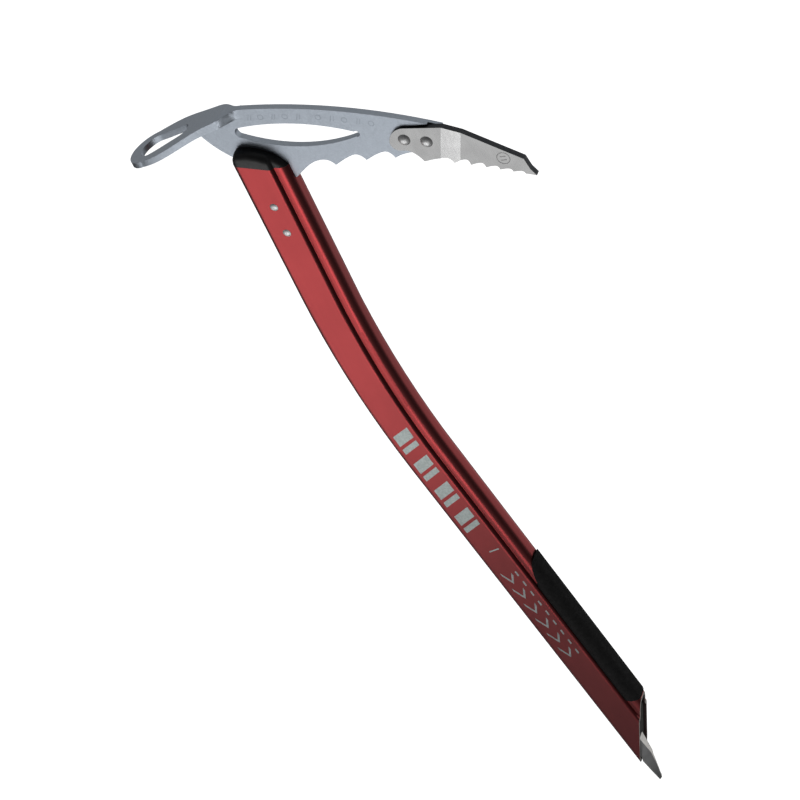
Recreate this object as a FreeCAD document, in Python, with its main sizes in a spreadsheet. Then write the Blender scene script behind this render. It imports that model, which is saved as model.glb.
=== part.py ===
import FreeCAD, Part

# A light mountaineering ice axe: a forged aluminium head with a steel pick tip, a bent
# aluminium tube with a narrower front rib, a moulded head plug, a grip strip and a spike.
# Frame: the origin is on the shaft's axis at its upper end, +Z runs up along the upper,
# straight part of the shaft, +X points to the pick and Y is across the head plate.

import math
import os

from FreeCAD import Placement, Rotation, Vector

doc = FreeCAD.newDocument("ice_axe")

# ---------------------------------------------------------------- driving dimensions
SIZES = [
    ("section_depth", 27.0, "shaft section, back to front"),
    ("section_width", 17.0, "shaft section, side to side"),
    ("flank_depth", 20.6, "depth of the flat sides, behind the front rib"),
    ("back_radius", 4.0, "rounding of the back corners"),
    ("shoulder_radius", 1.8, "convex rounding where the flat side ends"),
    ("groove_radius", 0.7, "concave rounding at the foot of the rib"),
    ("rib_radius", 4.5, "rounding of the front rib"),
    ("wall", 1.3, "tube wall"),
    ("upper_length", 82.6, "origin to the start of the bend"),
    ("bend_radius", 564.0, "radius of the bend at the axis"),
    ("bend_angle", 12.25, "turn of the bend, degrees"),
    ("lower_length", 198.2, "end of the bend to the front lip"),
    ("end_cut_angle", 29.5, "lower end cut against the axis, degrees"),
    ("joint_drop", 1.2, "top of the tube below the origin, at the axis"),
    ("joint_angle", 13.6, "slope of the tube's top, down to the front, degrees"),
    ("slot_depth", 12.9, "depth of the slot for the head in the front rib"),
    ("plate_thickness", 3.5, "head plate"),
    ("slot_gap", 0.1, "gap between the plate and the tube's slot, each side"),
    ("adze_half_width", 13.1, "half of the adze's width"),
    ("adze_reach", 69.8, "adze edge behind the axis"),
    ("adze_end_radius", 11.75, "rounding of the adze's edge in plan"),
    ("adze_slot_radius", 7.6, "outer end of the adze slot"),
    ("adze_slot_neck", 4.3, "inner end of the adze slot"),
    ("steel_thickness", 3.2, "steel pick tip"),
    ("steel_proud", 1.5, "how far the lap stands off the head's face"),
    ("pick_angle", 21.4, "slope of the pick, degrees"),
    ("joggle_start", 90.5, "along the pick, from the origin"),
    ("joggle_end", 99.5, "along the pick, from the origin"),
    ("pick_shank", 2.1, "pick rivet shank radius"),
    ("pick_dome", 3.1, "pick rivet head radius"),
    ("pick_dome_height", 1.6, "pick rivet head height"),
    ("shaft_shank", 1.7, "shaft rivet shank radius"),
    ("shaft_dome", 2.2, "shaft rivet head radius"),
    ("shaft_dome_height", 0.7, "shaft rivet head height"),
    ("plug_gap", 0.15, "gap between the plugs and the tube"),
    ("plug_depth", 22.0, "head plug below the origin"),
    ("pad_thickness", 0.9, "grip strip"),
    ("pad_top", 120.4, "grip strip's upper end above the front lip"),
    ("spike_tip", 68.3, "spike tip below the front lip"),
    ("end_plug_recess", 3.0, "end plug inside the end cut, along the shaft"),
    ("end_plug_top", 14.0, "end plug above the front lip"),
]

sheet = doc.addObject("Spreadsheet::Sheet", "Sizes")
for row, (alias, value, note) in enumerate(SIZES, start=1):
    sheet.set("A%d" % row, alias)
    sheet.set("B%d" % row, str(value))
    sheet.set("C%d" % row, note)
    sheet.setAlias("B%d" % row, alias)
doc.recompute()


def size(alias):
    return float(sheet.get(alias))


DEPTH = size("section_depth")
WIDTH = size("section_width")
WALL = size("wall")
THICK = size("plate_thickness")
LAP_FACE = -THICK / 2 - size("steel_proud")
LAP_BACK = LAP_FACE + size("steel_thickness")

# ---------------------------------------------------------------- frames
FLAT = Placement()
SIDE = Placement(Vector(), Rotation(Vector(1, 0, 0), 90))
BEND_TURN = Rotation(Vector(0, 1, 0), -size("bend_angle"))
bend = math.radians(size("bend_angle"))
UPPER_END = Placement(Vector(0, 0, -size("upper_length")), Rotation())
LOWER = Placement(
    Vector(size("bend_radius") * (1 - math.cos(bend)), 0,
           -size("upper_length") - size("bend_radius") * math.sin(bend)), BEND_TURN)
LIP = LOWER * Placement(Vector(0, 0, -size("lower_length")), Rotation())


# ---------------------------------------------------------------- drawing helpers
def pt(point):
    return Vector(point[0], point[1], 0)


def line(a, b):
    return Part.LineSegment(pt(a), pt(b))


def arc(a, middle, b):
    return Part.Arc(pt(a), pt(middle), pt(b))


def curve(*points):
    spline = Part.BSplineCurve()
    spline.interpolate([pt(p) for p in points])
    return spline


def polygon(*points):
    return [line(a, b) for a, b in zip(points, points[1:] + points[:1])]


def circle(centre, radius):
    return [Part.Circle(pt(centre), Vector(0, 0, 1), radius)]


def quarter(centre, radius, start, end):
    """Quarter circle from centre + radius*start to centre + radius*end."""
    places = (start, ((start[0] + end[0]) * math.sqrt(0.5), (start[1] + end[1]) * math.sqrt(0.5)), end)
    return arc(*[(centre[0] + radius * x, centre[1] + radius * y) for x, y in places])


def sketch(name, wires, placement=FLAT):
    """A free sketch made of closed wires, each a list of curves."""
    item = doc.addObject("Sketcher::SketchObject", name)
    for wire in wires:
        item.addGeometry(wire, False)
    item.Placement = placement
    return item


def body_sketch(body, name, wires, role="XZ_Plane", offset=None):
    """A sketch on one of the body's own origin planes."""
    item = body.newObject("Sketcher::SketchObject", name)
    plane = [o for o in body.Origin.OriginFeatures if o.Role == role][0]
    item.AttachmentSupport = (plane, [""])
    item.MapMode = "FlatFace"
    if offset:
        item.AttachmentOffset = offset
    for wire in wires:
        item.addGeometry(wire, False)
    return item


def pad(body, name, profile, length):
    item = body.newObject("PartDesign::Pad", name)
    item.Profile = profile
    item.SideType = "Symmetric"
    item.setExpression("Length", length)
    return item


def pocket(body, name, profile):
    """A cut right through, both ways from the sketch."""
    item = body.newObject("PartDesign::Pocket", name)
    item.Profile = profile
    item.SideType = "Symmetric"
    item.Type = "ThroughAll"
    return item


def extrude(name, profile, length, symmetric=True, back=False):
    item = doc.addObject("Part::Extrusion", name)
    item.Base = profile
    item.DirMode = "Normal"
    item.Solid = True
    item.Symmetric = symmetric
    item.Reversed = back
    item.setExpression("LengthFwd", length)
    return item


def fuse(name, *shapes):
    item = doc.addObject("Part::MultiFuse", name)
    item.Shapes = list(shapes)
    item.Refine = False
    return item


def combine(kind, name, base, tool):
    item = doc.addObject("Part::" + kind, name)
    item.Base = base
    item.Tool = tool
    item.Refine = False
    return item


# ---------------------------------------------------------------- shaft section
SHOULDER_X = -DEPTH / 2 + size("flank_depth")
STEP = size("shoulder_radius") + size("groove_radius")
RIB_HALF = WIDTH / 2 - STEP


def section_side(inset, side):
    """One side of the section, from the back corner to the front of the rib."""
    back, shoulder, groove, rib = (size(a) for a in (
        "back_radius", "shoulder_radius", "groove_radius", "rib_radius"))
    flank_y = side * (WIDTH / 2 - inset)
    rib_y = side * (RIB_HALF - inset)
    step_y = side * (WIDTH / 2 - shoulder)
    return [
        quarter((-DEPTH / 2 + back, side * (WIDTH / 2 - back)), back - inset, (-1, 0), (0, side)),
        line((-DEPTH / 2 + back, flank_y), (SHOULDER_X - shoulder, flank_y)),
        quarter((SHOULDER_X - shoulder, step_y), shoulder - inset, (0, side), (1, 0)),
        quarter((SHOULDER_X + groove, step_y), groove + inset, (-1, 0), (0, -side)),
        line((SHOULDER_X + groove, rib_y), (DEPTH / 2 - rib, rib_y)),
        quarter((DEPTH / 2 - rib, side * (RIB_HALF - rib)), rib - inset, (0, side), (1, 0)),
    ]


def section(inset):
    """The whole section, drawn in by inset all round."""
    back_y = WIDTH / 2 - size("back_radius")
    front_y = RIB_HALF - size("rib_radius")
    return (section_side(inset, -1) + section_side(inset, 1)
            + [line((-DEPTH / 2 + inset, -back_y), (-DEPTH / 2 + inset, back_y)),
               line((DEPTH / 2 - inset, -front_y), (DEPTH / 2 - inset, front_y))])


def bent_prism(name, inset):
    """The section carried down the upper length, round the bend and along the lower length."""
    upper = extrude(name + "_upper", sketch(name + "_upper_section", [section(inset)], UPPER_END),
                    "Sizes.upper_length + 30", symmetric=False)
    turn = doc.addObject("Part::Revolution", name + "_bend")
    turn.Source = sketch(name + "_bend_section", [section(inset)], UPPER_END)
    turn.Base = Vector(size("bend_radius"), 0, -size("upper_length"))
    turn.Axis = Vector(0, -1, 0)
    turn.Solid = True
    turn.setExpression("Angle", "Sizes.bend_angle")
    lower = extrude(name + "_lower", sketch(name + "_lower_section", [section(inset)], LOWER),
                    "Sizes.lower_length + 70", symmetric=False, back=True)
    return fuse(name, upper, turn, lower)


# ---------------------------------------------------------------- shared side profiles
def joint_z(x):
    return -size("joint_drop") - x * math.tan(math.radians(size("joint_angle")))


def end_z(x, recess=0.0):
    """Height of the oblique end cut in the lip's frame."""
    return (x - DEPTH / 2) / math.tan(math.radians(size("end_cut_angle"))) + recess


def below_end_cut(recess):
    front, rear = DEPTH / 2 + 6, -DEPTH / 2 - 6
    return polygon((front, end_z(front, recess)), (rear, end_z(rear, recess)), (rear, -150), (front, -150))


SHAFT_RIVETS = {"shaft_rivet_upper": (-1.25, -24.6), "shaft_rivet_lower": (-1.25, -40.8)}
PICK_RIVETS = {"pick_rivet_rear": (79.4, 3.1), "pick_rivet_front": (90.1, 0.7)}

# ---------------------------------------------------------------- head outline
TANG_BACK, TANG_FRONT, TANG_END = -9.5, 10.5, -50.0
THROAT = (14.1, -size("slot_depth"))
HEAD_TEETH = [(37.7, -8.2), (54.6, -7.2), (69.9, -7.7)]
LAP_CORNER = (80.2, -5.4)
HEAD_END = [(94.0, -7.2), (99.4, 6.9)]
CROWN = (0.7, 29.35)


def scallop(a, b, depth):
    """The hollow between two teeth: a long rise from tooth a, then a short drop to tooth b."""
    run = Vector(b[0] - a[0], b[1] - a[1], 0)
    rise = Vector(-run.y, run.x, 0).normalize() * depth
    shape = [(0.33, 0.58), (0.60, 0.94), (0.78, 1.0), (0.92, 0.62)]
    inner = [pt(a) + run * along + rise * up for along, up in shape]
    return curve(a, *[(p.x, p.y) for p in inner], b)


def plate_outline():
    """Head plate in side view: web, pick underside, tang and the rear edge under the adze."""
    rear = [(-28.0, 20.6), (-22.6, 11.0), (-15.2, 2.9)]
    heel = (-11.9, 2.3)
    teeth = [scallop(a, b, 4.0) for a, b in zip(HEAD_TEETH, HEAD_TEETH[1:])]
    return [
        curve(THROAT, (21.4, -8.0), (27.6, -5.0), (33.4, -4.6), HEAD_TEETH[0]),
        *teeth,
        curve(HEAD_TEETH[-1], (75.0, -6.0), LAP_CORNER),
        line(LAP_CORNER, HEAD_END[0]),
        line(HEAD_END[0], HEAD_END[1]),
        arc(HEAD_END[1], (55.2, 21.3), CROWN),
        line(CROWN, rear[0]),
        arc(*rear),
        line(rear[2], heel),
        line(heel, (TANG_BACK, -5.0)),
        line((TANG_BACK, -5.0), (TANG_BACK, TANG_END)),
        line((TANG_BACK, TANG_END), (TANG_FRONT, TANG_END)),
        line((TANG_FRONT, TANG_END), (TANG_FRONT, THROAT[1])),
        line((TANG_FRONT, THROAT[1]), THROAT),
    ]


def lens_slot():
    """The long opening in the web that takes a carabiner."""
    upper = [(-4.4, 19.0), (24.0, 18.3), (55.0, 9.7)]
    lower = [(55.0, 6.8), (22.0, 4.9), (-4.9, 13.2)]
    return [arc(*upper), arc(upper[2], (57.4, 7.9), lower[0]), arc(*lower),
            arc(lower[2], (-7.0, 16.7), upper[0])]


def adze_band():
    """Side view of the adze blade: it drops from the crown, flattens outwards and is thicker at its root."""
    top = curve((1.0, 29.45), (-14.0, 27.0), (-30.0, 22.3), (-50.0, 15.4), (-75.0, 9.3))
    under = curve((-75.0, 6.6), (-50.0, 12.0), (-30.0, 18.7), (-14.0, 22.8), (1.0, 24.4))
    return [top, line((-75.0, 9.3), (-75.0, 6.6)), under, line((1.0, 24.4), (1.0, 29.45))]


def adze_trim():
    """Plan view of what is cut away round the adze: it widens from the web to a round edge."""
    half, reach, end = size("adze_half_width"), size("adze_reach"), size("adze_end_radius")
    root = THICK / 2
    sides = []
    for side in (-1, 1):
        sides += [
            curve((1.0, side * root), (-3.0, side * 2.4), (-9.5, side * 6.3), (-20.0, side * 8.3),
                  (-31.0, side * 10.7), (-41.0, side * (half - 0.3)), (-49.0, side * half),
                  (end - reach, side * end)),
            quarter((end - reach, 0), end, (0, side), (-1, 0)),
            line((1.0, side * root), (1.0, side * 20)),
            line((1.0, side * 20), (-80, side * 20)),
        ]
    return sides + [line((-80, -20), (-80, 20))]


def adze_slot():
    """Plan view of the adze's opening: two round ends joined by straight sides."""
    outer, inner = size("adze_slot_radius"), size("adze_slot_neck")
    far, near = -55.8, -36.6
    lean = math.asin((outer - inner) / (near - far))
    ends = [(far + outer * math.sin(lean), outer * math.cos(lean)),
            (near + inner * math.sin(lean), inner * math.cos(lean))]
    return [
        line(ends[0], ends[1]),
        arc(ends[1], (near + inner, 0), (ends[1][0], -ends[1][1])),
        line((ends[1][0], -ends[1][1]), (ends[0][0], -ends[0][1])),
        arc((ends[0][0], -ends[0][1]), (far - outer, 0), ends[0]),
    ]


LAP_TOP = (82.6, 9.4)
LAP_FOOT = (76.0, -2.9)


def lap_nose():
    """Rounded rear end of the steel lap, from its top edge round to its foot."""
    return [arc(LAP_TOP, (74.6, 7.4), (71.4, 2.4)), arc((71.4, 2.4), (72.3, -1.2), LAP_FOOT)]


def make_head():
    body = doc.addObject("PartDesign::Body", "head")
    holes = [circle(c, size("shaft_shank")) for c in SHAFT_RIVETS.values()]
    holes += [circle(c, size("pick_shank")) for c in PICK_RIVETS.values()]
    plate = body_sketch(body, "plate_outline", [plate_outline(), lens_slot()] + holes)
    pad(body, "plate", plate, "Sizes.plate_thickness")
    band = body_sketch(body, "adze_band", [adze_band()])
    pad(body, "adze", band, "Sizes.adze_half_width * 2 + 4")
    pocket(body, "adze_plan", body_sketch(body, "adze_trim", [adze_trim()], "XY_Plane"))
    pocket(body, "adze_opening", body_sketch(body, "adze_slot", [adze_slot()], "XY_Plane"))
    seat_edge = [(LAP_CORNER[0], -20), (120, -20), (120, 9.4)]
    seat = lap_nose() + [line(LAP_FOOT, LAP_CORNER), line(LAP_CORNER, seat_edge[0]),
                         line(seat_edge[0], seat_edge[1]), line(seat_edge[1], seat_edge[2]),
                         line(seat_edge[2], LAP_TOP)]
    seat_sketch = body_sketch(body, "lap_seat", [seat], offset=Placement(Vector(0, 0, -LAP_BACK), Rotation()))
    lap = body.newObject("PartDesign::Pocket", "lap_recess")
    lap.Profile = seat_sketch
    lap.Reversed = True
    lap.Length = THICK
    return body


# ---------------------------------------------------------------- steel pick tip
def pick_outline():
    """Steel tip in side view: round lap, straight back, chisel point and finer teeth."""
    first, second, point = (84.7, -10.3), (98.5, -13.8), (136.3, -25.8)
    slope = (point[1] - second[1]) / (point[0] - second[0])
    teeth = [second]
    pitch = 7.5
    while len(teeth) < 6:
        teeth.append((teeth[-1][0] + pitch, teeth[-1][1] + pitch * slope))
        pitch *= 0.93
    edge = [scallop(first, second, 3.1)]
    depth = 2.7
    for a, b in zip(teeth, teeth[1:]):
        edge.append(scallop(a, b, depth))
        depth *= 0.8
    back = [(100.2, 7.7), (109.0, 1.6), (133.2, -15.8), (134.3, -21.8)]
    return (lap_nose()
            + [curve(LAP_FOOT, (78.8, -3.4), (82.2, -6.0), first)] + edge
            + [line(teeth[-1], point), line(point, back[3]), line(back[3], back[2]),
               line(back[2], back[1]), line(back[1], back[0]), line(back[0], LAP_TOP)])


def make_pick_tip():
    body = doc.addObject("PartDesign::Body", "pick_tip")
    holes = [circle(c, size("pick_shank")) for c in PICK_RIVETS.values()]
    pad(body, "tip_blank", body_sketch(body, "tip_outline", [pick_outline()] + holes), "Sizes.plate_thickness * 4")
    start, end, half = size("joggle_start"), size("joggle_end"), size("steel_thickness") / 2
    near = [(40, LAP_FACE), (start, LAP_FACE), (end, -half), (160, -half)]
    far = [(40, LAP_BACK), (start, LAP_BACK), (end, half), (160, half)]
    keep_clear = 20
    tilt = Placement(Vector(), Rotation(Vector(0, 1, 0), size("pick_angle")))
    sides = [polygon(*near, (160, -keep_clear), (40, -keep_clear)),
             polygon(*far, (160, keep_clear), (40, keep_clear))]
    pocket(body, "joggle", body_sketch(body, "joggle_plan", sides, "XY_Plane", tilt))
    return body


# ---------------------------------------------------------------- rivets
def make_rivet(name, centre, near_y, far_y, kind):
    """A round rivet along Y with a head like a shallow ball on each side."""
    shank, dome, height = size(kind + "_shank"), size(kind + "_dome"), size(kind + "_dome_height")
    ball = (dome ** 2 + height ** 2) / (2 * height)
    half_turn = math.asin(dome / ball) / 2
    shoulder = (ball * math.sin(half_turn), ball * math.cos(half_turn) - ball + height)
    body = doc.addObject("PartDesign::Body", name)
    profile = [
        line((0, near_y - height), (0, far_y + height)),
        arc((0, far_y + height), (shoulder[0], far_y + shoulder[1]), (dome, far_y)),
        line((dome, far_y), (shank, far_y)),
        line((shank, far_y), (shank, near_y)),
        line((shank, near_y), (dome, near_y)),
        arc((dome, near_y), (shoulder[0], near_y - shoulder[1]), (0, near_y - height)),
    ]
    outline = body_sketch(body, name + "_profile", [profile], "XY_Plane")
    turn = body.newObject("PartDesign::Revolution", name + "_turn")
    turn.Profile = outline
    turn.ReferenceAxis = (outline, ["V_Axis"])
    turn.Angle = 360
    body.Placement = Placement(Vector(centre[0], 0, centre[1]), Rotation())
    return body


# ---------------------------------------------------------------- tube
def make_shaft():
    tube = combine("Cut", "tube", bent_prism("tube_outside", 0.0), bent_prism("tube_inside", WALL))
    left, right = -DEPTH, DEPTH
    top = extrude("above_joint", sketch("joint_profile", [polygon(
        (left, joint_z(left)), (right, joint_z(right)), (right, 60), (left, 60))], SIDE), "Sizes.section_width * 2")
    end = extrude("beyond_end", sketch("end_profile", [below_end_cut(0.0)], LIP * SIDE), "Sizes.section_width * 2")
    slot = extrude("head_slot", sketch("slot_profile", [polygon(
        (TANG_FRONT, -size("slot_depth")), (right, -size("slot_depth")), (right, 20), (TANG_FRONT, 20))], SIDE),
        "Sizes.plate_thickness + Sizes.slot_gap * 2")
    holes = extrude("rivet_holes", sketch("rivet_hole_circles", [
        circle(c, size("shaft_shank")) for c in SHAFT_RIVETS.values()], SIDE), "Sizes.section_width * 2")
    for step, tool in enumerate((top, end, slot, holes)):
        tube = combine("Cut", "tube_cut_%d" % step, tube, tool)
    tube.Label = "shaft"
    return tube


# ---------------------------------------------------------------- head plug
def make_head_plug():
    """Moulded plug: a domed cap on the tube's end and a sleeve round the tang inside it."""
    left, right = (-DEPTH / 2 - 0.6, -1.0), (DEPTH / 2 + 0.6, -7.0)
    dome_rise = curve(left, (-13.1, 3.6), (-11.6, 6.6), (-8.6, 7.9), (-3.0, 7.3), (4.0, 4.5),
                      (9.6, 0.6), (12.4, -3.2), right)
    foot = [(right[0], joint_z(right[0])), (left[0], joint_z(left[0]))]
    cap_profile = [dome_rise, line(right, (right[0], -12)), line((right[0], -12), (left[0], -12)),
                   line((left[0], -12), left)]
    above = polygon(foot[0], foot[1], (left[0], 30), (right[0], 30))
    cap = combine("Common", "cap_blank",
                  extrude("cap_prism", sketch("cap_section", [section(0.0)]), "80"),
                  extrude("cap_dome", sketch("cap_profile", [cap_profile], SIDE), "Sizes.section_width * 2"))
    cap = combine("Common", "cap_flat_foot", cap,
                  extrude("cap_above", sketch("cap_foot", [above], SIDE), "Sizes.section_width * 2"))
    inner = extrude("sleeve_prism", sketch("sleeve_section", [section(WALL + size("plug_gap"))]), "80")
    below = polygon((left[0], joint_z(left[0])), (right[0], joint_z(right[0])),
                    (right[0], -size("plug_depth")), (left[0], -size("plug_depth")))
    sleeve = combine("Common", "sleeve", inner,
                     extrude("sleeve_limit", sketch("sleeve_profile", [below], SIDE), "Sizes.section_width * 2"))
    whole = fuse("plug_blank", cap, sleeve)
    plate = extrude("plate_room", sketch("plate_room_outline", [plate_outline()], SIDE), "Sizes.plate_thickness")
    plug = combine("Cut", "plug_cut", whole, plate)
    plug.Label = "head_plug"
    return plug


# ---------------------------------------------------------------- grip strip
def make_grip_pad():
    """Strip moulded over the front rib: its lower end slants to the lip, its upper end is a tongue."""
    skin, rib = size("pad_thickness"), size("rib_radius")
    start, rib_end = SHOULDER_X + 0.15, DEPTH / 2 - rib
    front_y, skin_y = RIB_HALF - rib, RIB_HALF + skin
    wire = [line((start, -skin_y), (start, skin_y)),
            line((DEPTH / 2 + skin, -front_y), (DEPTH / 2 + skin, front_y))]
    for side in (-1, 1):
        wire += [line((start, side * skin_y), (rib_end, side * skin_y)),
                 quarter((rib_end, side * front_y), rib + skin, (0, side), (1, 0))]
    blank = extrude("pad_blank", sketch("pad_section", [wire], LIP), "Sizes.pad_top", symmetric=False)
    strip = combine("Cut", "pad_over_rib", blank, doc.getObject("tube_outside"))
    near, far, crest = 5.0, DEPTH / 2 + 4, size("pad_top")
    tongue = [curve((far, crest), (12.6, crest - 4.5), (9.6, crest - 13), (near, crest - 24)),
              line((near, crest - 24), (near, crest + 10)), line((near, crest + 10), (far, crest + 10)),
              line((far, crest + 10), (far, crest))]
    foot = polygon((near, 5.4), (near, -10), (far, -10), (far, 1.4))
    ends = extrude("pad_ends", sketch("pad_end_profiles", [tongue, foot], LIP * SIDE), "Sizes.section_width * 2")
    strip = combine("Cut", "pad_cut", strip, ends)
    strip.Label = "grip_pad"
    return strip


# ---------------------------------------------------------------- spike and end plug
def spike_stations():
    """Height below the lip, front and half-width there, back and half-width there."""
    inside, outside, tip = -DEPTH / 2 + WALL, -DEPTH / 2, -size("spike_tip")
    return [
        (6.0, -6.0, 3.2, inside, 4.4),
        (-28.0, -6.0, 3.2, inside, 4.4),
        (-45.6, -6.9, 1.3, inside, 4.4),
        (-49.0, -7.9, 0.9, outside, 4.2),
        (-59.5, -10.4, 0.35, outside - 0.1, 3.1),
        (tip, -13.0, 0.35, outside - 0.2, 2.0),
    ]


def make_spike():
    """Steel wedge along the inside of the back wall, narrower in front, drawn to a point outside it."""
    sections = []
    for number, (height, front, front_half, back, back_half) in enumerate(spike_stations()):
        wire = polygon((front, -front_half), (back, -back_half), (back, back_half), (front, front_half))
        place = LIP * Placement(Vector(0, 0, height), Rotation())
        sections.append(sketch("spike_section_%d" % number, [wire], place))
    spike = doc.addObject("Part::Loft", "spike_loft")
    spike.Sections = sections
    spike.Solid = True
    spike.Ruled = True
    spike.Label = "spike"
    return spike


def make_spike_plug(spike):
    """Moulded filler in the tube's lower end, recessed behind the end cut, that holds the spike."""
    top = LIP * Placement(Vector(0, 0, size("end_plug_top")), Rotation())
    filler = extrude("filler_prism", sketch("filler_section", [section(WALL + size("plug_gap"))], top),
                     "80", symmetric=False, back=True)
    limit = extrude("filler_limit", sketch("filler_profile", [below_end_cut(size("end_plug_recess"))], LIP * SIDE),
                    "Sizes.section_width * 2")
    plug = combine("Cut", "filler_cut", combine("Cut", "filler_faced", filler, limit), spike)
    plug.Label = "spike_plug"
    return plug


# ---------------------------------------------------------------- build, check and write
half_width = WIDTH / 2
spike = make_spike()
nodes = [make_head(), make_pick_tip(), make_shaft(), make_head_plug(), make_grip_pad(), spike,
         make_spike_plug(spike)]
nodes += [make_rivet(name, centre, LAP_FACE, THICK / 2, "pick") for name, centre in PICK_RIVETS.items()]
nodes += [make_rivet(name, centre, -half_width, half_width, "shaft") for name, centre in SHAFT_RIVETS.items()]
doc.recompute()

for item in doc.Objects:
    if "Invalid" in item.State or "Error" in item.State:
        raise RuntimeError("%s failed: %s" % (item.Name, item.State))

os.makedirs("parts", exist_ok=True)
for node in nodes:
    shape = node.Shape
    if shape.isNull() or not shape.isValid() or len(shape.Solids) != 1:
        raise RuntimeError("%s has no single valid solid (%d)" % (node.Label, len(shape.Solids)))
    shape.exportStep("parts/%s.step" % node.Label)
    box = shape.BoundBox
    print("%-18s %9.0f mm3  x %.1f %.1f  y %.1f %.1f  z %.1f %.1f" % (
        node.Label, shape.Volume, box.XMin, box.XMax, box.YMin, box.YMax, box.ZMin, box.ZMax))
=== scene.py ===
import math

import bmesh
import bpy
from mathutils import Matrix, Vector


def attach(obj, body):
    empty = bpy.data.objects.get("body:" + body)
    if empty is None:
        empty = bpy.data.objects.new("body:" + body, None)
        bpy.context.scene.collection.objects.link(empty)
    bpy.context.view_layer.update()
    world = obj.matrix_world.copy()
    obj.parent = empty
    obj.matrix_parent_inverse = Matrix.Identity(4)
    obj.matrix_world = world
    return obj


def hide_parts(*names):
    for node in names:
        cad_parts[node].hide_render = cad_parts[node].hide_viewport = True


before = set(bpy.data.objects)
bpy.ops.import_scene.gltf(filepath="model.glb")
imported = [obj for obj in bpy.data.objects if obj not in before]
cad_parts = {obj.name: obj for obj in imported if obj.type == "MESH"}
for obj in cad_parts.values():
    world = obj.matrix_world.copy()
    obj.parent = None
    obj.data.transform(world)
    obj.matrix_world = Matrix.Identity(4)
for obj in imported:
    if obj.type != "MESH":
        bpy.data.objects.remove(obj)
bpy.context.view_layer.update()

scene = bpy.context.scene
MM = 0.001

# ---------------------------------------------------------------- the tube, as the frame has it
DEPTH, WIDTH = 27.0 * MM, 17.0 * MM
FLANK_DEPTH = 20.6 * MM
BACK_RADIUS, SHOULDER_RADIUS = 4.0 * MM, 1.8 * MM
GROOVE_RADIUS, RIB_RADIUS = 0.7 * MM, 4.5 * MM
SHOULDER_X = FLANK_DEPTH - DEPTH / 2
RIB_HALF = WIDTH / 2 - SHOULDER_RADIUS - GROOVE_RADIUS
UPPER_LENGTH, BEND_RADIUS, LOWER_LENGTH = 82.6 * MM, 564.0 * MM, 198.2 * MM
BEND = math.radians(12.25)
BEND_LENGTH = BEND_RADIUS * BEND
LIP_AT = UPPER_LENGTH + BEND_LENGTH + LOWER_LENGTH
PLATE = 3.5 * MM                # thickness of the head's plate


def on_shaft(along, depth, side):
    """Point of the tube's frame: along its axis from the top, depth to the rib, side across."""
    past = along - UPPER_LENGTH
    if past <= 0:
        return Vector((depth, side, -along))
    turn = min(past / BEND_RADIUS, BEND)
    straight = max(0.0, past - BEND_LENGTH)
    cos, sin = math.cos(turn), math.sin(turn)
    x = BEND_RADIUS * (1 - cos) + depth * cos + straight * sin
    z = -UPPER_LENGTH - BEND_RADIUS * sin + depth * sin - straight * cos
    return Vector((x, side, z))


def lower_parts(vector):
    """Depth and height parts of a vector, in the frame of the tube's lower straight."""
    cos, sin = math.cos(BEND), math.sin(BEND)
    return vector.x * cos + vector.z * sin, vector.z * cos - vector.x * sin


def lip_frame(point):
    """Depth and height of a point in the frame of the lower straight, from the lip of its end."""
    return lower_parts(point - on_shaft(LIP_AT, 0, 0))


# ---------------------------------------------------------------- camera, light and surround
AZIMUTH, ELEVATION, ROLL = (math.radians(a) for a in (36.27, 36.33, -26.42))
DISTANCE = 1.3
LENS, SENSOR = 113.85, 36.0
CLIP_START, CLIP_END = 0.05, 50
TARGET = Vector((8.72, 0, -161.84)) * MM

# Each area light: name, place, aim, width, height, power in watts, colour.
LIGHTS = (
    ("softbox", (-0.36, -0.56, -0.44), (0.0, 0, -0.05), 0.65, 0.46, 1.32, (1, 1, 1)),
    ("strip", (0.04, -0.64, -0.42), (0.05, 0, -0.08), 0.2, 0.48, 0.9, (1, 1, 1)),
    ("kicker", (0.24, 0.18, -0.64), (0.09, 0, -0.45), 0.14, 0.14, 0.09, (1.0, 0.95, 0.88)),
)

# Each glow of the surround: direction, lowest and highest brightness, and the cosines of the
# angle from the direction at which it starts and is full. The first one's lowest is the level
# all round.
GLOWS = (
    ((-0.48, 0.60, 0.64), 0.04, 0.42, 0.35, 0.95),      # up behind
    ((-0.05, 0.80, -0.59), 0.0, 0.12, 0.6, 0.97),       # down behind
    ((0.50, 0.85, 0.10), 0.0, 0.8, 0.6, 1.0),           # level behind, past the rib
    ((-0.05, -0.84, -0.54), 0.0, 0.07, 0.30, 1.0),      # down in front
)
SURROUND_COLOUR = (0.97, 0.985, 1.0)
SEEN_BRIGHTNESS = 1.0           # what the camera sees of the surround itself
FLOOR_HALF, FLOOR_HEIGHT = 14.0, -1.6


def make_camera():
    """Looks down on the near side from the pick's end, turned so that the shaft leans."""
    to_camera = Vector((math.sin(AZIMUTH) * math.cos(ELEVATION),
                        -math.cos(AZIMUTH) * math.cos(ELEVATION), math.sin(ELEVATION)))
    right = (-to_camera).cross(Vector((0, 0, 1))).normalized()
    up = right.cross(-to_camera)
    turned_right = right * math.cos(ROLL) + up * math.sin(ROLL)
    turned_up = up * math.cos(ROLL) - right * math.sin(ROLL)
    data = bpy.data.cameras.new("camera")
    data.lens = LENS
    data.sensor_width = SENSOR
    data.clip_start = CLIP_START
    data.clip_end = CLIP_END
    camera = bpy.data.objects.new("camera", data)
    turn = Matrix((turned_right, turned_up, to_camera)).transposed()
    camera.matrix_world = Matrix.Translation(TARGET + to_camera * DISTANCE) @ turn.to_4x4()
    scene.collection.objects.link(camera)
    scene.camera = camera


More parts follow.
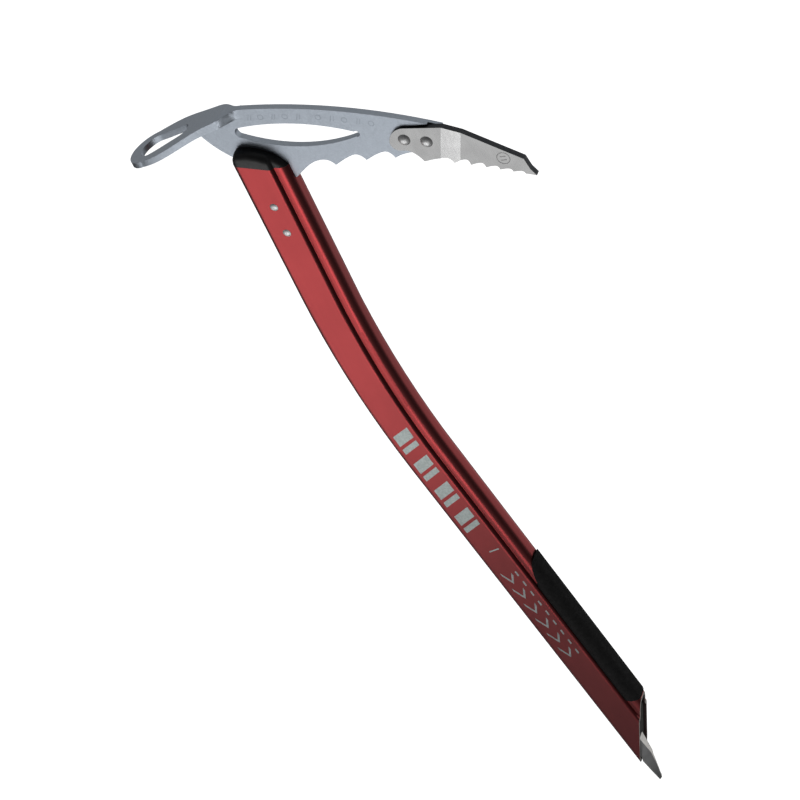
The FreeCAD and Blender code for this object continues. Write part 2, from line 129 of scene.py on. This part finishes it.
def make_floor():
    """A wide white floor below the hanging axe, which glows and is hidden from reflections."""
    mesh = bpy.data.meshes.new("floor")
    corners = [(x * FLOOR_HALF, y * FLOOR_HALF, FLOOR_HEIGHT)
               for x, y in ((-1, -1), (1, -1), (1, 1), (-1, 1))]
    mesh.from_pydata(corners, [], [(0, 1, 2, 3)])
    floor = bpy.data.objects.new("floor", mesh)
    scene.collection.objects.link(floor)
    material, shader, _ = new_material("floor", colour=(0.86, 0.86, 0.86), roughness=0.9)
    shader.inputs["Emission Color"].default_value = (1, 1, 1, 1)
    shader.inputs["Emission Strength"].default_value = 1.0
    mesh.materials.append(material)
    floor.visible_glossy = False


def area_light(name, place, aim, width, height, power, colour):
    """A rectangular light at a place, facing the point it is aimed at."""
    data = bpy.data.lights.new(name, "AREA")
    data.shape = "RECTANGLE"
    data.size, data.size_y = width, height
    data.energy = power
    data.color = colour
    light = bpy.data.objects.new(name, data)
    light.location = place
    light.rotation_euler = (Vector(aim) - Vector(place)).to_track_quat("-Z", "Y").to_euler()
    scene.collection.objects.link(light)


def map_range(tree, value, start, end, low, high):
    """A node that brings a value from the range start to end into the range low to high."""
    span = tree.nodes.new("ShaderNodeMapRange")
    for name, number in (("From Min", start), ("From Max", end),
                         ("To Min", low), ("To Max", high)):
        span.inputs[name].default_value = number
    tree.links.new(value, span.inputs["Value"])
    return span


def make_world():
    """Dim studio surround with a few soft glows; the camera itself sees it as white."""
    world = bpy.data.worlds.new("studio")
    scene.world = world
    world.use_nodes = True
    tree = world.node_tree
    nodes, links = tree.nodes, tree.links
    background = nodes["Background"]
    place = nodes.new("ShaderNodeTexCoord")

    def glow(direction, low, high, start, end):
        """Brightness that rises from low to high as a direction turns towards the given one."""
        dot = nodes.new("ShaderNodeVectorMath")
        dot.operation = "DOT_PRODUCT"
        dot.inputs[1].default_value = Vector(direction).normalized()
        links.new(place.outputs["Generated"], dot.inputs[0])
        span = map_range(tree, dot.outputs["Value"], start, end, low, high)
        span.interpolation_type = "SMOOTHSTEP"
        return span.outputs["Result"]

    brightness = glow(*GLOWS[0])
    for values in GLOWS[1:]:
        total = nodes.new("ShaderNodeMath")
        total.operation = "ADD"
        links.new(brightness, total.inputs[0])
        links.new(glow(*values), total.inputs[1])
        brightness = total.outputs[0]
    seen = nodes.new("ShaderNodeLightPath")
    mix = nodes.new("ShaderNodeMix")
    mix.data_type = "FLOAT"
    links.new(seen.outputs["Is Camera Ray"], mix.inputs["Factor"])
    links.new(brightness, mix.inputs["A"])
    mix.inputs["B"].default_value = SEEN_BRIGHTNESS
    links.new(mix.outputs["Result"], background.inputs["Strength"])
    background.inputs["Color"].default_value = (*SURROUND_COLOUR, 1)


# ---------------------------------------------------------------- materials
TONE_FROM, TONE_TO = 0.35, 0.65         # noise values that give the darker and the lighter tone
SHINE_FROM, SHINE_TO = 0.3, 0.7         # noise values that give the lower and higher roughness


def new_material(name, metallic=0.0, colour=None, roughness=None):
    """A Principled material, its shader and its tree; nodes may set colour and roughness."""
    material = bpy.data.materials.new(name)
    material.use_nodes = True
    tree = material.node_tree
    shader = tree.nodes["Principled BSDF"]
    shader.inputs["Metallic"].default_value = metallic
    if colour is not None:
        shader.inputs["Base Color"].default_value = (*colour, 1)
    if roughness is not None:
        shader.inputs["Roughness"].default_value = roughness
    return material, shader, tree


def noise_field(tree, scale, detail, stretch=(1, 1, 1), roughness=0.5):
    """Noise on the object's own coordinates, in features per metre."""
    place = tree.nodes.new("ShaderNodeTexCoord")
    mapping = tree.nodes.new("ShaderNodeMapping")
    mapping.inputs["Scale"].default_value = stretch
    field = tree.nodes.new("ShaderNodeTexNoise")
    field.inputs["Scale"].default_value = scale
    field.inputs["Detail"].default_value = detail
    field.inputs["Roughness"].default_value = roughness
    tree.links.new(place.outputs["Object"], mapping.inputs["Vector"])
    tree.links.new(mapping.outputs["Vector"], field.inputs["Vector"])
    return field.outputs["Fac"]


def uneven_roughness(tree, shader, value, low, high):
    """Roughness that wanders between two levels."""
    span = map_range(tree, value, SHINE_FROM, SHINE_TO, low, high)
    tree.links.new(span.outputs["Result"], shader.inputs["Roughness"])


def two_tone(tree, shader, value, dark, light):
    """Base colour that wanders between two tones."""
    ramp = tree.nodes.new("ShaderNodeValToRGB")
    for end, place, colour in zip(ramp.color_ramp.elements, (TONE_FROM, TONE_TO), (dark, light)):
        end.position = place
        end.color = (*colour, 1)
    tree.links.new(value, ramp.inputs["Fac"])
    tree.links.new(ramp.outputs["Color"], shader.inputs["Base Color"])


def relief(tree, shader, value, depth):
    """Surface relief of a given depth in metres."""
    bump = tree.nodes.new("ShaderNodeBump")
    bump.inputs["Strength"].default_value = 1.0
    bump.inputs["Distance"].default_value = depth
    tree.links.new(value, bump.inputs["Height"])
    tree.links.new(bump.outputs["Normal"], shader.inputs["Normal"])


def blasted_aluminium():
    """Shot-blasted aluminium: a fine even grain and faint cloudy tone."""
    material, shader, tree = new_material("blasted_aluminium", 1.0)
    cloud = noise_field(tree, 1100, 4)
    two_tone(tree, shader, cloud, (0.385, 0.425, 0.475), (0.425, 0.465, 0.52))
    uneven_roughness(tree, shader, noise_field(tree, 900, 4), 0.42, 0.5)
    relief(tree, shader, noise_field(tree, 4200, 2, roughness=0.7), 0.02 * MM)
    return material


def red_anodised():
    """Red anodised tube: satin, with fine drawing lines along its length."""
    material, shader, tree = new_material("red_anodised", 1.0)
    lines = noise_field(tree, 1400, 3, (1, 1, 0.02))
    cloud = noise_field(tree, 25, 3)
    two_tone(tree, shader, cloud, (0.32, 0.030, 0.032), (0.35, 0.034, 0.036))
    uneven_roughness(tree, shader, lines, 0.3, 0.35)
    relief(tree, shader, lines, 0.0008 * MM)
    shader.inputs["Coat Weight"].default_value = 0.75
    shader.inputs["Coat Roughness"].default_value = 0.6
    return material


def bare_edge():
    """Cut aluminium without its red skin."""
    material, shader, tree = new_material("bare_edge", 0.9, (0.42, 0.40, 0.38))
    uneven_roughness(tree, shader, noise_field(tree, 1500, 3), 0.28, 0.45)
    relief(tree, shader, noise_field(tree, 2600, 2, (1, 0.1, 1)), 0.01 * MM)
    return material


def tube_inside():
    """Painted shade on the tube's inner wall: a near-black colour, with a rough surface."""
    material, shader, tree = new_material("tube_inside", 0.6, (0.05, 0.03, 0.03))
    uneven_roughness(tree, shader, noise_field(tree, 700, 3), 0.5, 0.7)
    return material


def brushed_steel(name, tone, shine):
    """Ground steel: fine lines along the object's height and small tonal wander."""
    material, shader, tree = new_material(name, 1.0)
    lines = noise_field(tree, 2600, 3, (1, 1, 0.06))
    cloud = noise_field(tree, 140, 4)
    two_tone(tree, shader, cloud, (tone * 0.94,) * 3, (tone * 1.04,) * 3)
    uneven_roughness(tree, shader, lines, shine - 0.03, shine + 0.05)
    relief(tree, shader, lines, 0.0012 * MM)
    return material


def painted_dark_reflection_steel():
    """Painted dark reflection: dark steel for the tip's upward faces along its upper edge."""
    material, shader, tree = new_material("painted_dark_reflection_steel", 0.7, (0.03, 0.032, 0.036))
    uneven_roughness(tree, shader, noise_field(tree, 500, 4), 0.3, 0.5)
    relief(tree, shader, noise_field(tree, 3000, 2), 0.01 * MM)
    return material


def moulded_black(name, tone, shine, grain, depth, mirror=0.5):
    """Black moulded plastic or rubber with a fine grain; mirror is its specular level."""
    material, shader, tree = new_material(name)
    cloud = noise_field(tree, 400, 4)
    two_tone(tree, shader, cloud, (tone * 0.8,) * 3, (tone * 1.25,) * 3)
    uneven_roughness(tree, shader, noise_field(tree, grain / 3, 3), shine - 0.06, shine + 0.08)
    relief(tree, shader, noise_field(tree, grain, 3, roughness=0.65), depth)
    shader.inputs["Specular IOR Level"].default_value = mirror
    return material


def silver_print(name, dark, light):
    """Thin silver-grey ink with slightly worn patches."""
    material, shader, tree = new_material(name, 0.9, roughness=0.42)
    two_tone(tree, shader, noise_field(tree, 900, 5), dark, light)
    return material


def shallow_mark(name, dark, light):
    """Darker metal of a stamped mark."""
    material, shader, tree = new_material(name, 1.0, roughness=0.5)
    two_tone(tree, shader, noise_field(tree, 1200, 3), dark, light)
    return material


# the last material here paints the shade inside the tube's hollow
ALUMINIUM, RED, BARE, PAINTED_SHADE_INSIDE = blasted_aluminium(), red_anodised(), bare_edge(), tube_inside()
# the second steel here paints the dark reflection on the tip's upward faces and nose
STEEL, PAINTED_DARK_REFLECTION = brushed_steel("brushed_steel", 0.29, 0.24), painted_dark_reflection_steel()
RIVET = brushed_steel("rivet_steel", 0.85, 0.52)
SPIKE = brushed_steel("spike_steel", 0.6, 0.5)
PLASTIC = moulded_black("plug_plastic", 0.008, 0.4, 1800, 0.006 * MM)
DARK_PLASTIC = moulded_black("end_plug_plastic", 0.003, 0.7, 1800, 0.006 * MM)
RUBBER = moulded_black("grip_rubber", 0.005, 0.92, 1300, 0.3 * MM, mirror=0.2)
PRINT = silver_print("silver_print", (0.33, 0.37, 0.36), (0.43, 0.47, 0.46))
PRINT_FINE = silver_print("silver_print_fine", (0.3, 0.31, 0.31), (0.42, 0.43, 0.43))
WEB_MARK = shallow_mark("web_mark", (0.31, 0.345, 0.39), (0.36, 0.40, 0.45))
TIP_MARK = shallow_mark("tip_mark", (0.2, 0.2, 0.2), (0.32, 0.32, 0.32))


# ---------------------------------------------------------------- pieces taken from the CAD
WELD = 0.002 * MM                       # vertices nearer than this are one
FLAT_ANGLE = math.radians(0.6)          # faces that meet below this are merged
SMOOTH_ANGLE = math.radians(35)         # edges above this are sharp
FOLD_ANGLE = math.radians(3)            # edges of the side faces above this are sharp too
SIDE_FACE = 0.95                        # sideways part of a side face's normal, at least
BEVEL_ANGLE = math.radians(38)          # edges above this are bevelled
BEVEL_SEGMENTS = 2


def add_piece(name, mesh, materials, slot, *nodes):
    """Links a finished mesh as a piece of the axe, which stands for the CAD nodes named."""
    piece = bpy.data.objects.new(name, mesh)
    scene.collection.objects.link(piece)
    for material in materials:
        mesh.materials.append(material)
    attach(piece, "root")
    if nodes:
        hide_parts(*nodes)
    return piece


def smooth(mesh, angle=SMOOTH_ANGLE):
    """Smooth shading, with edges above an angle kept sharp."""
    mesh.shade_smooth()
    mesh.set_sharp_from_angle(angle=angle)


def crease_folds(mesh):
    """Keeps the folds between flat side faces crisp."""
    form = bmesh.new()
    form.from_mesh(mesh)
    for edge in form.edges:
        if len(edge.link_faces) == 2 and edge.smooth:
            beside = any(abs(face.normal.y) > SIDE_FACE for face in edge.link_faces)
            if beside and edge.calc_face_angle(0) > FOLD_ANGLE:
                edge.smooth = False
    form.to_mesh(mesh)
    form.free()


def first(_normal, _centre):
    """The first material on every face."""
    return 0


def refined_copy(node, materials, slot, bevel, choose=first):
    """The CAD piece again, cleaned and with its edges softened by a bevel of the width given.

    choose picks a face's material from its normal and its centre.
    """
    form = bmesh.new()
    form.from_mesh(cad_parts[node].data)
    bmesh.ops.remove_doubles(form, verts=form.verts, dist=WELD)
    bmesh.ops.dissolve_limit(form, angle_limit=FLAT_ANGLE, verts=form.verts, edges=form.edges)
    bmesh.ops.recalc_face_normals(form, faces=form.faces)
    for face in form.faces:
        face.material_index = choose(face.normal, face.calc_center_median())
    mesh = bpy.data.meshes.new(node + "_visible")
    form.to_mesh(mesh)
    form.free()
    piece = add_piece(node + "_visible", mesh, materials, slot, node)
    smooth(mesh)
    crease_folds(mesh)
    if bevel:
        edge = piece.modifiers.new("softened_edges", "BEVEL")
        edge.width = bevel
        edge.segments = BEVEL_SEGMENTS
        edge.limit_method = "ANGLE"
        edge.angle_limit = BEVEL_ANGLE
        edge.harden_normals = True
        edge.use_clamp_overlap = True
    return piece


def make_head():
    """The head, all in one finish."""
    refined_copy("head", [ALUMINIUM], "head_aluminium", 0.3 * MM)


def make_pick_tip():
    """Bright ground flanks, with a painted dark reflection along the upper edge and on the nose.
    """
    edge_from, nose_from = 78 * MM, 128 * MM        # along the pick
    faces_up, faces_forward = 0.55, 0.5             # parts of a normal, at least

    def choose(normal, centre):
        """The painted dark reflection, or the ground steel."""
        # faces that look up or forward take the painted dark reflection
        upper = normal.z > faces_up and centre.x > edge_from
        nose = normal.x > faces_forward and centre.x > nose_from
        return 1 if upper or nose else 0

    refined_copy("pick_tip", [STEEL, PAINTED_DARK_REFLECTION], "pick_steel", 0.22 * MM, choose)


def make_shaft():
    """Red skin outside, bare metal at both cut ends, painted shade inside."""
    top_cut_above, faces_up = -12 * MM, 0.9         # height of the top's cut and its normal
    end_cut_from, end_cut_to = 0.82, 0.92           # depth part of the oblique end's normal
    end_cut_sideways = 0.05                         # and its sideways part, at most
    lower_reach = 115 * MM                          # from the lip, where lip_frame holds
    faces_axis, least_inward = 0.8, 1e-5            # how far an inner wall turns to the axis

    def choose(normal, centre):
        """The bare metal of a cut, the inner wall's painted shade, or the red skin."""
        if normal.z > faces_up and centre.z > top_cut_above:
            return 1
        depth, height = lip_frame(centre)
        facing, _ = lower_parts(normal)
        if end_cut_from < facing < end_cut_to and abs(normal.y) < end_cut_sideways:
            return 1
        inward_y = normal.y * centre.y < -least_inward
        inward_depth = abs(height) < lower_reach and facing * depth < -faces_axis * abs(depth)
        # inner walls take the painted shade of the tube's hollow
        return 2 if inward_y or inward_depth else 0

    refined_copy("shaft", [RED, BARE, PAINTED_SHADE_INSIDE], "shaft_anodised", 0.0, choose)


def make_spike():
    """The steel point."""
    refined_copy("spike", [SPIKE], "spike_steel", 0.25 * MM)


def make_end_plug():
    """The filler that holds the spike."""
    refined_copy("spike_plug", [DARK_PLASTIC], "plug_plastic", 0.0)


def make_rivets():
    """The two rivets of the tip and the two of the tube."""
    for node in ("pick_rivet_rear", "pick_rivet_front", "shaft_rivet_upper", "shaft_rivet_lower"):
        refined_copy(node, [RIVET], "rivet_steel", 0.08 * MM)


def make_grip_pad():
    """The pad with its foot carried down to the cut end of the tube."""
    foot_below = 7 * MM                             # height over the lip where the foot starts
    drop, drop_from, drop_over = 1.1 * MM, 5 * MM, 8.5 * MM
    pad = refined_copy("grip_pad", [RUBBER], "grip_rubber", 0.2 * MM)
    up = Vector((-math.sin(BEND), 0, math.cos(BEND)))
    for vertex in pad.data.vertices:
        depth, height = lip_frame(vertex.co)
        if height < foot_below:
            vertex.co -= up * (drop * min(max((depth - drop_from) / drop_over, 0), 1))
    pad.data.update()


# ---------------------------------------------------------------- the head's cap
# Crest of the cap, as depth and height in millimetres.
CAP_CREST = [(-14.1, -1.0), (-13.4, 3.4), (-11.6, 6.6), (-8.6, 7.9), (-3.0, 7.3), (4.0, 4.5),
             (9.6, 0.6), (12.4, -3.2), (14.1, -7.0)]
JOINT_HEIGHT, JOINT_SLOPE = -1.2 * MM, 0.2419       # the tube's cut top, on its axis and its fall
BACK_FLAT_HALF = 2 * MM
FLANK_POINTS = (-4 * MM, 1 * MM)
SLOT_GAP = 0.06 * MM                                # between the cap and the head's plate
CAP_FOOT = 0.15 * MM                                # how far its foot goes below the joint
CAP_THINNEST = 0.3 * MM
CAP_WALL_INSET, CAP_ROUND_INSET = 0.25, 2.95        # in millimetres
CAP_TOP_INSETS = (4.2, 5.4, 6.6, 8.5)
CAP_ROUND_DROP, CAP_ROUND_SHARE = 3.4 * MM, 0.62    # height of the rounded edge, at most
CAP_WELD = 0.001 * MM
CAP_SMOOTH_ANGLE = math.radians(50)


def crest_height(x):
    """Height of the cap's crest at a depth, in metres, on a smooth curve through its points."""
    points = [(px * MM, pz * MM) for px, pz in CAP_CREST]
    x = min(max(x, points[0][0]), points[-1][0])
    for index in range(len(points) - 1):
        (x0, z0), (x1, z1) = points[index], points[index + 1]
        if x <= x1:
            before = points[max(index - 1, 0)]
            after = points[min(index + 2, len(points) - 1)]
            t = (x - x0) / (x1 - x0)
            slope0 = (z1 - before[1]) / (x1 - before[0]) * (x1 - x0)
            slope1 = (after[1] - z0) / (after[0] - x0) * (x1 - x0)
            return ((2 * t ** 3 - 3 * t * t + 1) * z0 + (t ** 3 - 2 * t * t + t) * slope0
                    + (3 * t * t - 2 * t ** 3) * z1 + (t ** 3 - t * t) * slope1)
    return points[-1][1]


def half_outline():
    """Half of the tube's outline, from the middle of its back to the middle of the rib."""
    def arc(cx, cy, radius, start, end, steps):
        """Points of an arc between two angles in degrees."""
        angles = [math.radians(start + (end - start) * i / steps) for i in range(steps + 1)]
        return [(cx + radius * math.cos(a), cy + radius * math.sin(a)) for a in angles]

    back_x, shoulder_y = -DEPTH / 2, WIDTH / 2 - SHOULDER_RADIUS
    points = [(back_x, 0), (back_x, BACK_FLAT_HALF)]
    points += arc(back_x + BACK_RADIUS, WIDTH / 2 - BACK_RADIUS, BACK_RADIUS, 180, 90, 7)
    points += [(x, WIDTH / 2) for x in FLANK_POINTS]
    points += arc(SHOULDER_X - SHOULDER_RADIUS, shoulder_y, SHOULDER_RADIUS, 90, 0, 5)
    points += arc(SHOULDER_X + GROOVE_RADIUS, shoulder_y, GROOVE_RADIUS, 180, 270, 3)
    points += arc(DEPTH / 2 - RIB_RADIUS, RIB_HALF - RIB_RADIUS, RIB_RADIUS, 90, 0, 6)
    return points + [(DEPTH / 2, 0)]


def cap_point(x, y, inset, turn):
    """Where a point of the outline goes on the cap, at an inset and a turn of the rounded edge.

    With no turn it goes to the cap's foot.
    """
    x *= 1 - inset / (DEPTH / 2)
    y = max(y * (1 - inset / (WIDTH / 2)), PLATE / 2 + SLOT_GAP)
    joint = JOINT_HEIGHT - JOINT_SLOPE * x
    if turn is None:
        return x, y, joint - CAP_FOOT
    crest = max(crest_height(x), joint + CAP_THINNEST)
    drop = min(CAP_ROUND_DROP, CAP_ROUND_SHARE * (crest - joint))
    return x, y, crest - drop * (1 - math.sin(turn))


def make_head_plug():
    """Moulded cap with a straight side wall and a rounded-over top, in two closed halves."""
    outline = half_outline()
    count = len(outline)
    turns = [math.radians(a) for a in range(0, 91, 15)]
    rings = [(0.0, None)]
    rings += [(CAP_WALL_INSET + CAP_ROUND_INSET * (1 - math.cos(turn)), turn) for turn in turns]
    rings += [(inset, turns[-1]) for inset in CAP_TOP_INSETS]
    vertices, faces = [], []
    for side in (-1, 1):
        base = len(vertices)
        for inset, turn in rings:
            for point in outline:
                x, y, z = cap_point(*point, inset * MM, turn)
                vertices.append((x, side * y, z))
        for ring in range(len(rings) - 1):
            for index in range(count):
                a = base + ring * count + index
                b = base + ring * count + (index + 1) % count
                faces.append((a, b, b + count, a + count))
        last = base + (len(rings) - 1) * count
        faces.append(tuple(range(base, base + count)))
        faces.append(tuple(range(last, last + count)))
    mesh = bpy.data.meshes.new("head_cap")
    mesh.from_pydata(vertices, [], faces)
    form = bmesh.new()
    form.from_mesh(mesh)
    bmesh.ops.remove_doubles(form, verts=form.verts, dist=CAP_WELD)
    bmesh.ops.dissolve_degenerate(form, edges=form.edges, dist=CAP_WELD)
    bmesh.ops.recalc_face_normals(form, faces=form.faces)
    form.to_mesh(mesh)
    form.free()
    add_piece("head_cap", mesh, [PLASTIC], "plug_plastic", "head_plug")
    smooth(mesh, CAP_SMOOTH_ANGLE)


# ---------------------------------------------------------------- surface marks
INK = 0.012 * MM                        # thickness of a sheet of marks
PRINT_GAP, STAMP_GAP = 0.03 * MM, 0.015 * MM    # how far it stands off the surface
TIP_HALF = 1.6 * MM                     # from the middle of the plate to the tip's near face
BAR_PARTS = 6                           # parts of a bar, so that it follows the bend
STAMP_SIDES, WEB_SIDES = 40, 20         # sides of a ring

# Rows of marks on the flank, in millimetres: count, start along the tube, step, and the bars
# of one mark as offset, length, low depth, high depth and lean.
BOLD_ROWS = (
    (4, 179.0, 20.2, ((0.0, 7.2, -8.0, 3.6, -4.6), (9.4, 3.6, -8.0, 3.6, -4.6))),
    (1, 268.2, 0.0, ((0.0, 0.9, -3.6, 3.2, -1.0),)),
)
FINE_ROWS = (
    (6, 285.0, 12.2, ((0.0, 2.4, -7.2, -3.7, 7.0), (7.0, 2.4, -3.7, -0.4, -6.0))),
    (9, 286.0, 8.0, ((0.0, 3.6, 2.0, 3.1, -0.6),)),
)

# The ring on the tip, in metres, and the two strokes inside it.
STAMP_X, STAMP_Z = 123.4 * MM, -14.2 * MM
STAMP_INNER, STAMP_OUTER = 2.95 * MM, 3.4 * MM
STAMP_HALF, STAMP_OFFSET, STAMP_STROKE = 1.5 * MM, 1.0 * MM, 0.5 * MM

# The line the web's marks stand on, and their places along it, in millimetres.
WEB_LINE = [(2.7, 24.3), (20.9, 23.0), (41.2, 19.8), (60.5, 15.0), (67.9, 12.4)]
WEB_COUNT, WEB_FIRST, WEB_STEP = 10, 4.0, 6.4
WEB_BREAK, WEB_BREAK_AFTER = 4.0, 5
WEB_INNER, WEB_OUTER, WEB_STROKE = 1.15 * MM, 1.6 * MM, 0.45 * MM
WEB_STROKES = ((-1.0, -1.6, 0.6, 1.6), (0.6, -1.6, 1.8, 1.2))


def add_marks(name, mesh, material, slot):
    """Adds a sheet of marks as a thin closed body that reaches down towards the surface."""
    piece = add_piece(name, mesh, [material], slot)
    sheet = piece.modifiers.new("ink", "SOLIDIFY")
    sheet.thickness = INK
    sheet.offset = -1.0


def slanted_bar(start, length, low, high, lean):
    """A bar across the flank between two depths, its far end pushed along by the lean."""
    return [(start, low), (start + length, low),
            (start + length + lean, high), (start + lean, high)]


def flank_marks(name, rows, material):
    """Thin marks on the near flank, each a slanted bar that follows the tube's bend."""
    skin = -WIDTH / 2 - PRINT_GAP
    quads = [slanted_bar(start + step * index + offset, *bar)
             for count, start, step, bars in rows
             for index in range(count)
             for offset, *bar in bars]
    vertices, faces = [], []
    for a, b, c, d in quads:
        base = len(vertices)
        for part in range(BAR_PARTS + 1):
            t = part / BAR_PARTS
            for (s0, u0), (s1, u1) in ((a, b), (d, c)):
                along, depth = s0 + (s1 - s0) * t, u0 + (u1 - u0) * t
                vertices.append(on_shaft(along * MM, depth * MM, skin))
        for part in range(BAR_PARTS):
            i = base + 2 * part
            faces.append((i, i + 1, i + 3, i + 2))
    mesh = bpy.data.meshes.new(name)
    mesh.from_pydata(vertices, [], faces)
    mesh.update()
    for face in mesh.polygons:
        if face.normal.y > 0:
            face.flip()
    add_marks(name, mesh, material, "shaft_anodised")


def make_prints():
    """Generic bars, chevrons and dashes."""
    flank_marks("flank_marks_bold", BOLD_ROWS, PRINT)
    flank_marks("flank_marks_fine", FINE_ROWS, PRINT_FINE)


def add_ring(form, cx, cz, y, inner, outer, steps):
    """A flat ring facing the near side."""
    loops = []
    for radius in (inner, outer):
        angles = [2 * math.pi * i / steps for i in range(steps)]
        loops.append([form.verts.new((cx + radius * math.cos(a), y, cz + radius * math.sin(a)))
                      for a in angles])
    for i in range(steps):
        j = (i + 1) % steps
        form.faces.new((loops[0][i], loops[1][i], loops[1][j], loops[0][j]))


def add_stroke(form, x0, z0, x1, z1, y, width):
    """A flat straight stroke facing the near side."""
    along = Vector((x1 - x0, 0, z1 - z0)).normalized()
    across = Vector((-along.z, 0, along.x)) * (width / 2)
    start, end = Vector((x0, y, z0)), Vector((x1, y, z1))
    corners = (start - across, end - across, end + across, start + across)
    form.faces.new([form.verts.new(corner) for corner in corners])


def finish_marks(form, name, material, slot):
    """Turns the marks drawn in a form to the near side and adds them as a piece."""
    bmesh.ops.recalc_face_normals(form, faces=form.faces)
    for face in form.faces:
        if face.normal.y > 0:
            face.normal_flip()
    mesh = bpy.data.meshes.new(name)
    form.to_mesh(mesh)
    form.free()
    add_marks(name, mesh, material, slot)


def make_tip_stamp():
    """A plain ring on the tip, with two strokes in it."""
    form = bmesh.new()
    y = -TIP_HALF - STAMP_GAP
    add_ring(form, STAMP_X, STAMP_Z, y, STAMP_INNER, STAMP_OUTER, STAMP_SIDES)
    for z in (STAMP_Z - STAMP_OFFSET, STAMP_Z + STAMP_OFFSET):
        add_stroke(form, STAMP_X - STAMP_HALF, z, STAMP_X + STAMP_HALF, z, y, STAMP_STROKE)
    finish_marks(form, "tip_stamp", TIP_MARK, "pick_steel")


def web_height(x):
    """Height of the line that the web's marks stand on."""
    for (x0, z0), (x1, z1) in zip(WEB_LINE, WEB_LINE[1:]):
        if x <= x1:
            return z0 + (z1 - z0) * (x - x0) / (x1 - x0)
    return WEB_LINE[-1][1]


def make_web_marks():
    """A row of plain rings and pairs of strokes along the head's web."""
    form = bmesh.new()
    y = -PLATE / 2 - STAMP_GAP
    for index in range(WEB_COUNT):
        x = WEB_FIRST + WEB_STEP * index + (WEB_BREAK if index >= WEB_BREAK_AFTER else 0)
        z = web_height(x)
        if index % 2:
            add_ring(form, x * MM, z * MM, y, WEB_INNER, WEB_OUTER, WEB_SIDES)
        else:
            for x0, z0, x1, z1 in WEB_STROKES:
                add_stroke(form, (x + x0) * MM, (z + z0) * MM, (x + x1) * MM, (z + z1) * MM,
                           y, WEB_STROKE)
    finish_marks(form, "web_marks", WEB_MARK, "head_aluminium")


# ---------------------------------------------------------------- the whole
make_camera()
make_floor()
make_world()
make_head()
make_pick_tip()
make_shaft()
make_spike()
make_end_plug()
make_rivets()
make_head_plug()
make_grip_pad()
make_prints()
make_tip_stamp()
make_web_marks()
for light in LIGHTS:
    area_light(*light)

scene.view_settings.view_transform = "Standard"
